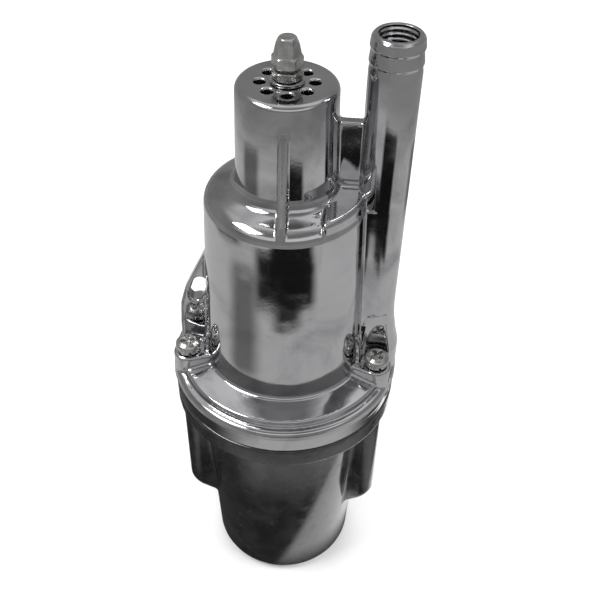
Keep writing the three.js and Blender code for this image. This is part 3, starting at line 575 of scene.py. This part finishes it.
def cast_housing():
    reach = FLANGE_RADIUS + 1
    across = stations(-reach, (reach, 0.9 * FINE))
    heights = stations(-0.7, (8, 0.7 * FINE), (107, 1.2 * FINE), (HOUSING_TOP + 0.7, 0.5 * FINE))
    return cast("housing_cup", housing_field(), across, across, heights)


# ------------------------------------------------------------------ small metal pieces

def small(name, node, field, step, height_step=None):
    """Casts a small piece on a fine grid round its CAD node's box."""
    low, high = node_box(node)
    margin = 3 * step
    xs, ys, zs = (
        stations(low[axis] - margin, (high[axis] + margin, step if axis < 2 else height_step or step))
        for axis in range(3)
    )
    return cast(name, field, xs, ys, zs)


def washer(node, inner, outer, rounding):
    low, high = node_box(node)
    centre = node_centre(node)
    outline = [
        (inner + rounding, low[2] + rounding), (outer - rounding, low[2] + rounding),
        (outer - rounding, high[2] - rounding), (inner + rounding, high[2] - rounding),
    ]
    return turned(outline, rounding, centre[:2])


def threaded(low, high, radius, pitch):
    """A screw thread with rounded crests."""

    def field(x, y, z):
        r = np.sqrt(x * x + y * y)
        turn = z / pitch - np.arctan2(y, x) / (2 * math.pi)
        depth = 0.32 * (0.5 - 0.5 * np.cos(2 * math.pi * turn)) ** 1.4
        side = (r - radius + depth) * 0.8
        ends = np.abs(z - (low + high) / 2) - (high - low) / 2
        return np.maximum(side, ends)

    return field


def nut_blank(flats, low, high, chamfer):
    corner = flats / 2 / math.cos(math.radians(30))
    rounding = turned([
        (-5, low), (corner - chamfer * 1.6, low), (corner, low + chamfer), (corner, high - chamfer),
        (corner - chamfer * 1.6, high), (-5, high),
    ])
    return common(hexagon(flats, low, high), rounding, edge=0.35)


def cap_nut_field():
    """A hexagon band with long tapering flats above it and a flat rounded crown."""
    low, high = node_box("cap_nut")
    bottom, top = low[2], high[2]
    band = nut_blank(STUD_NUT_FLATS, bottom, bottom + 4.2, 0.5)
    taper_foot = bottom + 3.6
    middle, half_height = (taper_foot + top) / 2, (top - taper_foot) / 2

    def taper(x, y, z):
        half_flats = 4.5 - 1.35 * np.clip((z - taper_foot) / (top - taper_foot), 0, 1)
        return np.maximum(hexagon_sides(x, y, half_flats), np.abs(z - middle) - half_height)

    crown = cone(taper_foot, top, 6.2, 3.5, 1.2)
    body = union(band, common(taper, crown, edge=0.4), fillet=0.35)
    return cut(body, cone(bottom - 3, bottom + 7, 3.1, 3.1), edge=0.4)


def screw_field(place, turn):
    """A pan-head screw with a cross recess turned by this many degrees."""
    low, high = node_box("housing_screw_" + place)
    centre = screw_centres[place]
    head_foot = high[2] - SCREW_HEAD_HEIGHT
    head = cone(head_foot, high[2], SCREW_HEAD_RADIUS, 4.4, 1.5)
    head_edge = cone(head_foot, head_foot + 1.7, SCREW_HEAD_RADIUS, 5.2, 0.4)
    shank = cone(low[2], head_foot + 1, SCREW_RADIUS, SCREW_RADIUS, 0.5)
    whole = union(head, head_edge, shank, fillet=0.5)
    arms = [bar((-3.1, -0.7, high[2] - 1.9), (3.1, 0.7, high[2] + 2), 0.2)]
    arms.append(moved(arms[0], 0, 0, 90))
    cross = union(*arms, fillet=0.4)
    return moved(cut(whole, moved(cross, 0, 0, turn), edge=0.5), centre[0], centre[1])


def spring_washer_field(place):
    centre = screw_centres[place]
    node = "spring_washer_" + place
    split = moved(bar((2, -0.4, 130), (7, 0.4, 150)), centre[0], centre[1], -70)
    return cut(washer(node, 3.25, 4.9, 0.3), split, edge=0.2)


def gland_field():
    low, high = node_box("cable_gland")
    tube = round_along_y(low[1], high[1] - 1, 5.4, INLET_HEIGHT, 0.4)
    collar = round_along_y(48.3, high[1], 7.1, INLET_HEIGHT, 0.7)
    body = union(tube, collar, fillet=0.3)
    return cut(body, round_along_y(20, 60, 3.4, INLET_HEIGHT), edge=0.6)


# ------------------------------------------------------------------ materials

class Surface:
    """A procedural material: a Principled shader with noise in its colour, roughness and bump."""

    def __init__(self, name, metallic=0.0, **constants):
        self.material = bpy.data.materials.new(name)
        self.material.use_nodes = True
        self.tree = self.material.node_tree
        self.tree.nodes.clear()
        output = self.node("ShaderNodeOutputMaterial")
        self.shader = self.node("ShaderNodeBsdfPrincipled")
        self.link(self.shader, "BSDF", output, "Surface")
        self.shader.inputs["Metallic"].default_value = metallic
        for key, value in constants.items():
            self.shader.inputs[key.replace("_", " ")].default_value = value
        self.place = self.node("ShaderNodeTexCoord")

    def node(self, kind, **settings):
        made = self.tree.nodes.new(kind)
        for key, value in settings.items():
            setattr(made, key, value)
        return made

    def link(self, source, output, target, entry):
        self.tree.links.new(source.outputs[output], target.inputs[entry])

    def stretched(self, scale):
        """Object coordinates in millimetres, scaled along each axis."""
        mapping = self.node("ShaderNodeMapping")
        mapping.inputs["Scale"].default_value = [factor / MM for factor in scale]
        self.link(self.place, "Object", mapping, "Vector")
        return mapping

    def noise(self, size, detail=4.0, rough=0.55, stretch=(1, 1, 1), distortion=0.0):
        """Noise whose lumps are about this size, in millimetres."""
        made = self.node("ShaderNodeTexNoise")
        made.inputs["Scale"].default_value = 1.0
        made.inputs["Detail"].default_value = detail
        made.inputs["Roughness"].default_value = rough
        made.inputs["Distortion"].default_value = distortion
        mapping = self.stretched([factor / size for factor in stretch])
        self.link(mapping, "Vector", made, "Vector")
        return made

    def ramp(self, source, output, *stops):
        """Stops are (position, grey or colour)."""
        made = self.node("ShaderNodeValToRGB")
        elements = made.color_ramp.elements
        while len(elements) < len(stops):
            elements.new(0.5)
        for element, (position, value) in zip(elements, stops):
            colour = value if isinstance(value, tuple) else (value, value, value)
            element.position = position
            element.color = (*colour, 1)
        self.link(source, output, made, "Fac")
        return made

    def bump(self, *layers):
        """Layers are (node, output, height in millimetres)."""
        below = None
        for source, output, height in layers:
            made = self.node("ShaderNodeBump")
            made.inputs["Strength"].default_value = 1.0
            made.inputs["Distance"].default_value = height * MM
            self.link(source, output, made, "Height")
            if below:
                self.link(below, "Normal", made, "Normal")
            below = made
        self.link(below, "Normal", self.shader, "Normal")

    def drive(self, entry, source, output="Color"):
        self.link(source, output, self.shader, entry)


def chrome():
    """Thin bright chrome over a zinc casting: slightly wavy, water-stained and finely scratched."""
    surface = Surface("chrome", metallic=1.0)
    stain = surface.noise(26, detail=5, distortion=0.6)
    surface.drive("Base Color", surface.ramp(
        stain, "Fac", (0.30, (0.33, 0.33, 0.34)), (0.5, (0.50, 0.50, 0.51)), (0.75, (0.56, 0.56, 0.57)),
    ))
    haze = surface.noise(9, detail=6, rough=0.7)
    surface.drive("Roughness", surface.ramp(haze, "Fac", (0.35, 0.045), (0.6, 0.10), (0.8, 0.20)))
    waves = surface.noise(14, detail=1)
    pits = surface.noise(1.3, detail=2)
    scratches = surface.noise(1.0, detail=3, stretch=(1.6, 1.6, 0.08))
    surface.bump((waves, "Fac", 0.16), (pits, "Fac", 0.006), (scratches, "Fac", 0.004))
    return surface.material


def black_enamel():
    """Glossy stoved enamel over cast iron, with a cloudy dusty bloom."""
    surface = Surface("black_enamel", IOR=1.55, Coat_Weight=0.6, Coat_Roughness=0.05)
    cloud = surface.noise(12, detail=8, rough=0.72)
    surface.drive("Base Color", surface.ramp(
        cloud, "Fac",
        (0.42, (0.004, 0.004, 0.0045)), (0.58, (0.016, 0.016, 0.017)), (0.8, (0.03, 0.03, 0.032)),
    ))
    dust = surface.noise(5, detail=6)
    surface.drive("Roughness", surface.ramp(dust, "Fac", (0.35, 0.10), (0.7, 0.3)))
    flow = surface.noise(7, detail=2)
    grain = surface.noise(0.9, detail=3)
    surface.bump((flow, "Fac", 0.05), (grain, "Fac", 0.01))
    return surface.material


def zinc_steel():
    """Bright zinc plate with rubbed corners and fine turning marks."""
    surface = Surface("zinc_steel", metallic=1.0)
    cloud = surface.noise(3, detail=5)
    surface.drive("Base Color", surface.ramp(
        cloud, "Fac", (0.3, (0.42, 0.42, 0.41)), (0.7, (0.66, 0.66, 0.65)),
    ))
    rub = surface.noise(1.2, detail=5, rough=0.7)
    surface.drive("Roughness", surface.ramp(rub, "Fac", (0.3, 0.12), (0.7, 0.34)))
    turning = surface.noise(0.5, detail=2, stretch=(0.2, 0.2, 1.5))
    surface.bump((turning, "Fac", 0.02), (rub, "Fac", 0.015))
    return surface.material


def plain_steel():
    surface = Surface("plain_steel", metallic=1.0)
    cloud = surface.noise(6, detail=5)
    surface.drive("Base Color", surface.ramp(
        cloud, "Fac", (0.3, (0.30, 0.30, 0.31)), (0.7, (0.46, 0.46, 0.47)),
    ))
    turning = surface.noise(0.4, detail=3, stretch=(0.1, 0.1, 1.5))
    surface.drive("Roughness", surface.ramp(turning, "Fac", (0.3, 0.25), (0.7, 0.45)))
    surface.bump((turning, "Fac", 0.02))
    return surface.material


def core_steel():
    """Stacked steel sheets: fine lines across the stack, with a brown tint on their cut edges."""
    surface = Surface("core_steel", metallic=0.9)
    sheets = surface.noise(0.7, detail=1, stretch=(0.05, 1.4, 0.05))
    surface.drive("Base Color", surface.ramp(
        sheets, "Fac", (0.35, (0.10, 0.09, 0.085)), (0.55, (0.22, 0.22, 0.23)), (0.75, (0.32, 0.31, 0.30)),
    ))
    cloud = surface.noise(4, detail=5)
    surface.drive("Roughness", surface.ramp(cloud, "Fac", (0.3, 0.38), (0.7, 0.6)))
    surface.bump((sheets, "Fac", 0.08))
    return surface.material


def copper_wire():
    """Layers of enamelled wire: close turns seen as fine ridges."""
    surface = Surface("copper_wire", metallic=1.0, Coat_Weight=0.5, Coat_Roughness=0.15)
    turns = surface.node("ShaderNodeTexWave", bands_direction="Z", wave_profile="SIN")
    turns.inputs["Scale"].default_value = 0.32
    turns.inputs["Distortion"].default_value = 0.6
    mapping = surface.stretched((1, 1, 1))
    surface.link(mapping, "Vector", turns, "Vector")
    # Painted shade: the colour follows the turns, dark brown in the grooves between them and copper on their
    # crests
    surface.drive("Base Color", surface.ramp(
        turns, "Fac", (0.0, (0.18, 0.06, 0.02)), (0.6, (0.62, 0.27, 0.12)), (1.0, (0.72, 0.36, 0.18)),
    ))
    cloud = surface.noise(3, detail=4)
    surface.drive("Roughness", surface.ramp(cloud, "Fac", (0.3, 0.22), (0.7, 0.42)))
    surface.bump((turns, "Fac", 0.35))
    return surface.material


def black_rubber():
    surface = Surface("black_rubber", Sheen_Weight=0.1)
    bloom = surface.noise(5, detail=6)
    surface.drive("Base Color", surface.ramp(
        bloom, "Fac", (0.35, (0.012, 0.012, 0.012)), (0.75, (0.035, 0.034, 0.032)),
    ))
    surface.drive("Roughness", surface.ramp(bloom, "Fac", (0.3, 0.55), (0.7, 0.8)))
    grain = surface.noise(0.5, detail=3)
    surface.bump((grain, "Fac", 0.03))
    return surface.material


def nylon():
    surface = Surface("nylon", Subsurface_Weight=0.05)
    cloud = surface.noise(8, detail=4)
    surface.drive("Base Color", surface.ramp(
        cloud, "Fac", (0.3, (0.62, 0.60, 0.52)), (0.7, (0.76, 0.74, 0.66)),
    ))
    surface.drive("Roughness", surface.ramp(cloud, "Fac", (0.3, 0.38), (0.7, 0.55)))
    grain = surface.noise(0.8, detail=3)
    surface.bump((grain, "Fac", 0.02))
    return surface.material


def compound():
    """Filled resin, matt with a few bubbles."""
    surface = Surface("compound")
    cloud = surface.noise(4, detail=7, rough=0.65)
    surface.drive("Base Color", surface.ramp(
        cloud, "Fac", (0.3, (0.018, 0.016, 0.015)), (0.7, (0.04, 0.036, 0.032)),
    ))
    surface.drive("Roughness", surface.ramp(cloud, "Fac", (0.3, 0.45), (0.7, 0.7)))
    bubbles = surface.node("ShaderNodeTexVoronoi", feature="SMOOTH_F1")
    mapping = surface.stretched((0.25, 0.25, 0.25))
    surface.link(mapping, "Vector", bubbles, "Vector")
    surface.bump((bubbles, "Distance", 0.3), (cloud, "Fac", 0.05))
    return surface.material


MATERIALS = {
    "chromed_casting": chrome(),
    "black_enamel": black_enamel(),
    "black_rubber": black_rubber(),
    "zinc_steel": zinc_steel(),
    "plain_steel": plain_steel(),
    "core_steel": core_steel(),
    "copper_wire": copper_wire(),
    "nylon": nylon(),
    "compound": compound(),
}


# ------------------------------------------------------------------ pieces

ROOT = "pump_body"


def replace(piece, node, slot):
    """Puts a detailed piece in a CAD node's place, with the material of this slot."""
    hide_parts(node)
    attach(piece, ROOT)
    piece.data.materials.append(MATERIALS[slot])


replace(cast_casing(), "pump_casing", "chromed_casting")
replace(cast_housing(), "magnet_housing", "black_enamel")
replace(small("cable_gland_boot", "cable_gland", gland_field(), 0.35 * FINE), "cable_gland", "black_rubber")
replace(small("cap_nut_dome", "cap_nut", cap_nut_field(), 0.22 * FINE), "cap_nut", "zinc_steel")

stud_low, stud_high = node_box("valve_stud")
stud = threaded(stud_low[2], stud_high[2], STUD_RADIUS, 1.0)
replace(small("valve_stud_thread", "valve_stud", stud, 0.25 * FINE, 0.16 * FINE), "valve_stud", "zinc_steel")

nut_low, nut_high = node_box("stud_jam_nut")
jam_nut_hole = cone(260, 280, STUD_HOLE, STUD_HOLE)
jam_nut = cut(nut_blank(STUD_NUT_FLATS, nut_low[2], nut_high[2], 0.5), jam_nut_hole, edge=0.3)
replace(small("jam_nut_thin", "stud_jam_nut", jam_nut, 0.2 * FINE), "stud_jam_nut", "zinc_steel")
face_washer = washer("face_washer", STUD_HOLE, 6.2, 0.25)
replace(small("face_washer_flat", "face_washer", face_washer, 0.2 * FINE), "face_washer", "zinc_steel")

SCREW_TURNS = {"front_left": 20, "back_left": 65, "front_right": 40, "back_right": 5}
for place, turn in SCREW_TURNS.items():
    screw_node, washer_node = "housing_screw_" + place, "spring_washer_" + place
    screw = small("cross_screw_" + place, screw_node, screw_field(place, turn), 0.3 * FINE)
    replace(screw, screw_node, "zinc_steel")
    split_washer = small("split_washer_" + place, washer_node, spring_washer_field(place), 0.25 * FINE)
    replace(split_washer, washer_node, "zinc_steel")

# The rod's collars press into the two rubber rings, which flatten away from them as the rod shakes; here
# each ring keeps its CAD shape.
# A ring is held at the end away from its collar: 1 is its top and 0 is its bottom.
RUBBER_RINGS = (
    ("shock_absorber", "absorber_ring", 1, 0.8),
    ("diaphragm", "diaphragm_ring", 0, 0.4),
)
for node, name, held_end, keep in RUBBER_RINGS:
    ring = bpy.data.objects.new(name, frame["nodes"][node].data.copy())
    bpy.context.scene.collection.objects.link(ring)
    ring.data.materials.clear()
    replace(ring, node, "black_rubber")
    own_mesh(ring)

# The other inner pieces are sealed in and keep their CAD meshes, with a full material each
for part in frame["record"]["subparts"]:
    carried = frame["nodes"][part["node"]]
    carried.data.materials.clear()
    carried.data.materials.append(MATERIALS[part["material_slot"]])


# ------------------------------------------------------------------ floor, lights and camera

def flat_card(name, points, material):
    """A flat piece of the studio."""
    mesh = bpy.data.meshes.new(name)
    mesh.from_pydata(points, [], [tuple(range(len(points)))])
    mesh.materials.append(material)
    card = bpy.data.objects.new(name, mesh)
    bpy.context.scene.collection.objects.link(card)
    return card


def only_in_reflections(card):
    """A card of painted reflections: seen by polished surfaces, but it neither shows nor throws shade."""
    card.visible_camera = False
    card.visible_diffuse = False
    card.visible_shadow = False
    card.visible_transmission = False
    card.visible_volume_scatter = False


def floor_material():
    surface = Surface("pale_floor")
    cloud = surface.noise(120, detail=3)
    surface.drive("Base Color", surface.ramp(
        cloud, "Fac", (0.3, (0.84, 0.84, 0.84)), (0.7, (0.87, 0.87, 0.87)),
    ))
    surface.drive("Roughness", surface.ramp(cloud, "Fac", (0.3, 0.7), (0.7, 0.8)))
    return surface.material


def glow(name):
    """A material that only gives light, and the socket for its strength."""
    material = bpy.data.materials.new(name)
    material.use_nodes = True
    tree = material.node_tree
    tree.nodes.clear()
    output = tree.nodes.new("ShaderNodeOutputMaterial")
    emission = tree.nodes.new("ShaderNodeEmission")
    tree.links.new(emission.outputs[0], output.inputs["Surface"])
    return material, emission.inputs["Strength"]


def square(reach, height):
    """Corners of a level square that reaches this far from the axis each way."""
    return [(x * reach, y * reach, height) for x, y in ((-1, -1), (1, -1), (1, 1), (-1, 1))]


# The floor and the card of painted reflections both lie just under the pump, in metres
FLOOR_REACH = 12
FLOOR_HEIGHT = -0.0003
REFLECTION_CARD_REACH = 4
REFLECTION_CARD_HEIGHT = -0.0001
flat_card("floor", square(FLOOR_REACH, FLOOR_HEIGHT), floor_material())


def bearing_and_reach(tree, direction=False):
    """Nodes for a point's bearing from the front in degrees, and its distance or, in the sky, elevation."""
    place = tree.nodes.new("ShaderNodeTexCoord")
    split = tree.nodes.new("ShaderNodeSeparateXYZ")
    tree.links.new(place.outputs["Generated" if direction else "Object"], split.inputs[0])

    def math_node(operation, first, second=None):
        made = tree.nodes.new("ShaderNodeMath")
        made.operation = operation
        for entry, value in enumerate((first, second)):
            if value is None:
                continue
            if isinstance(value, (int, float)):
                made.inputs[entry].default_value = value
            else:
                tree.links.new(value, made.inputs[entry])
        return made.outputs[0]

    x, y, z = split.outputs
    bearing = math_node("MULTIPLY", math_node("ARCTAN2", x, math_node("MULTIPLY", y, -1)), math.degrees(1))
    if direction:
        reach = math_node("MULTIPLY", math_node("ARCSINE", z), math.degrees(1))
    else:
        squares = math_node("ADD", math_node("MULTIPLY", x, x), math_node("MULTIPLY", y, y))
        reach = math_node("MULTIPLY", math_node("SQRT", squares), 1 / MM)
    return bearing, reach, math_node


def patchwork(tree, level, patches, direction=False):
    """Brightness that starts at one level and changes in soft-edged patches.

    A patch is (start bearing, end bearing, bearing softness, near, far, reach softness, level).
    It may end with a slant, the degrees by which its start turns for each unit of reach past near.
    """
    bearing, reach, math_node = bearing_and_reach(tree, direction)

    def step(value, edge, soft, falling):
        made = tree.nodes.new("ShaderNodeMapRange")
        made.interpolation_type = "SMOOTHSTEP"
        low, high = (edge - soft, edge + soft)
        for entry, number in zip(range(1, 5), (low, high, *((1, 0) if falling else (0, 1)))):
            made.inputs[entry].default_value = number
        tree.links.new(value, made.inputs[0])
        return made.outputs[0]

    total = level
    for start, end, bearing_soft, near, far, reach_soft, patch_level, *slant in patches:
        turned_back = bearing
        if slant:
            turn = math_node("MULTIPLY", math_node("SUBTRACT", reach, near), slant[0])
            turned_back = math_node("SUBTRACT", bearing, turn)
        mask = math_node(
            "MULTIPLY",
            step(turned_back, start, bearing_soft, False), step(bearing, end, bearing_soft, True),
        )
        mask = math_node("MULTIPLY", mask, step(reach, near, reach_soft, False))
        mask = math_node("MULTIPLY", mask, step(reach, far, reach_soft, True))
        change = math_node("SUBTRACT", patch_level, total)
        total = math_node("ADD", total, math_node("MULTIPLY", mask, change))
    return total


# Painted reflections: a glowing card under the pump that only polished surfaces see, whose patches paint
# light and dark reflections onto the chrome. Reaches are in millimetres.
PAINTED_REFLECTION_LEVEL = 0.62
PAINTED_REFLECTION_PATCHES = [
    (-200, 200, 1, -50, 150, 6, 0.05),                 # a dark painted reflection under the pump
    (-45, 80, 25, 84, 134, 16, 0.6),                   # a lighter patch of painted reflection within it
    (4, 200, 6, 40, 144, 6, 1.2, 1.5),                 # a bright painted reflection to the right of it
    (-174, -150, 4, 25, 165, 6, 4.0),                  # a narrow bright painted reflection behind it
    (-34, 44, 8, 262, 330, 8, 0.012),                  # a dark painted reflection band in front
    (-8, 25, 10, 240, 268, 8, 0.04),
    (-70, -32, 12, 180, 300, 14, 0.2),
    (-14, 40, 5, 292, 430, 10, 0.012),                 # what the web and the fin's right side see
    (-98, -58, 8, 320, 430, 10, 0.18),                 # what the left of the neck sees
    (120, 200, 12, 320, 430, 10, 0.2),                 # what the right of the neck sees
    (-200, 200, 1, 450, 5000, 60, 0.34),
]
painted_reflection_glow, painted_reflection_strength = glow("painted_reflection_card")
painted_reflection_glow.node_tree.links.new(
    patchwork(painted_reflection_glow.node_tree, PAINTED_REFLECTION_LEVEL, PAINTED_REFLECTION_PATCHES), painted_reflection_strength,
)
# The card glows only in polished surfaces and paints reflections there
only_in_reflections(flat_card("painted_reflection_card", square(REFLECTION_CARD_REACH, REFLECTION_CARD_HEIGHT), painted_reflection_glow))


def light(name, place, target, size, power):
    """A rectangular lamp aimed at target."""
    data = bpy.data.lights.new(name, "AREA")
    data.shape = "RECTANGLE"
    data.size, data.size_y = size
    data.energy = power
    lamp = bpy.data.objects.new(name, data)
    lamp.location = place
    lamp.rotation_mode = "QUATERNION"
    lamp.rotation_quaternion = (Vector(target) - Vector(place)).to_track_quat("-Z", "Y")
    bpy.context.scene.collection.objects.link(lamp)
    return lamp


PUMP_MIDDLE = (0, 0, 0.14)
light("window", (-0.77, -0.27, 1.38), PUMP_MIDDLE, (0.7, 0.45), 13)
for name, place, size, power in (
    ("fill", (1.3, -0.3, 1.3), (1.2, 1.2), 18),
    ("back", (-0.3, 1.5, 1.3), (1.6, 1.0), 18),
    ("front", (0.2, -1.6, 1.5), (1.6, 1.0), 14),
):
    light(name, place, PUMP_MIDDLE, size, power).visible_glossy = False

world = bpy.data.worlds.new("studio")
bpy.context.scene.world = world
world.use_nodes = True
background = world.node_tree.nodes["Background"]
background.inputs["Color"].default_value = (1, 1, 1, 1)
SKY_LEVEL = 0.5
SKY_PATCHES = [
    (-200, 200, 1, -90, 46, 8, 0.30),
    (-75, 75, 12, 20, 75, 10, 0.24),            # the side that the photographer stands on
    (-70, 70, 15, 30, 52, 5, 0.9),              # a bright wall far behind the photographer
    (100, 200, 14, 50, 84, 6, 0.85),            # a bright ceiling behind
    (-200, -100, 14, 50, 84, 6, 0.85),
]
world.node_tree.links.new(
    patchwork(world.node_tree, SKY_LEVEL, SKY_PATCHES, direction=True), background.inputs["Strength"],
)

LENS = 51.0
SENSOR = 36.0
CAMERA_PLACE = Vector((0.0266, -0.2666, 0.4065))
CAMERA_LOOK = Vector((-0.0563, 0.7351, -0.6756))
CAMERA_ROLL = math.radians(1.36)

camera_data = bpy.data.cameras.new("camera")
camera_data.lens = LENS
camera_data.sensor_width = SENSOR
camera_data.clip_start = 0.01
camera = bpy.data.objects.new("camera", camera_data)
camera.location = CAMERA_PLACE
camera.rotation_mode = "QUATERNION"
level = CAMERA_LOOK.to_track_quat("-Z", "Y")
camera.rotation_quaternion = Matrix.Rotation(-CAMERA_ROLL, 3, CAMERA_LOOK).to_quaternion() @ level
bpy.context.scene.collection.objects.link(camera)
bpy.context.scene.camera = camera
bpy.context.scene.view_settings.view_transform = "Standard"
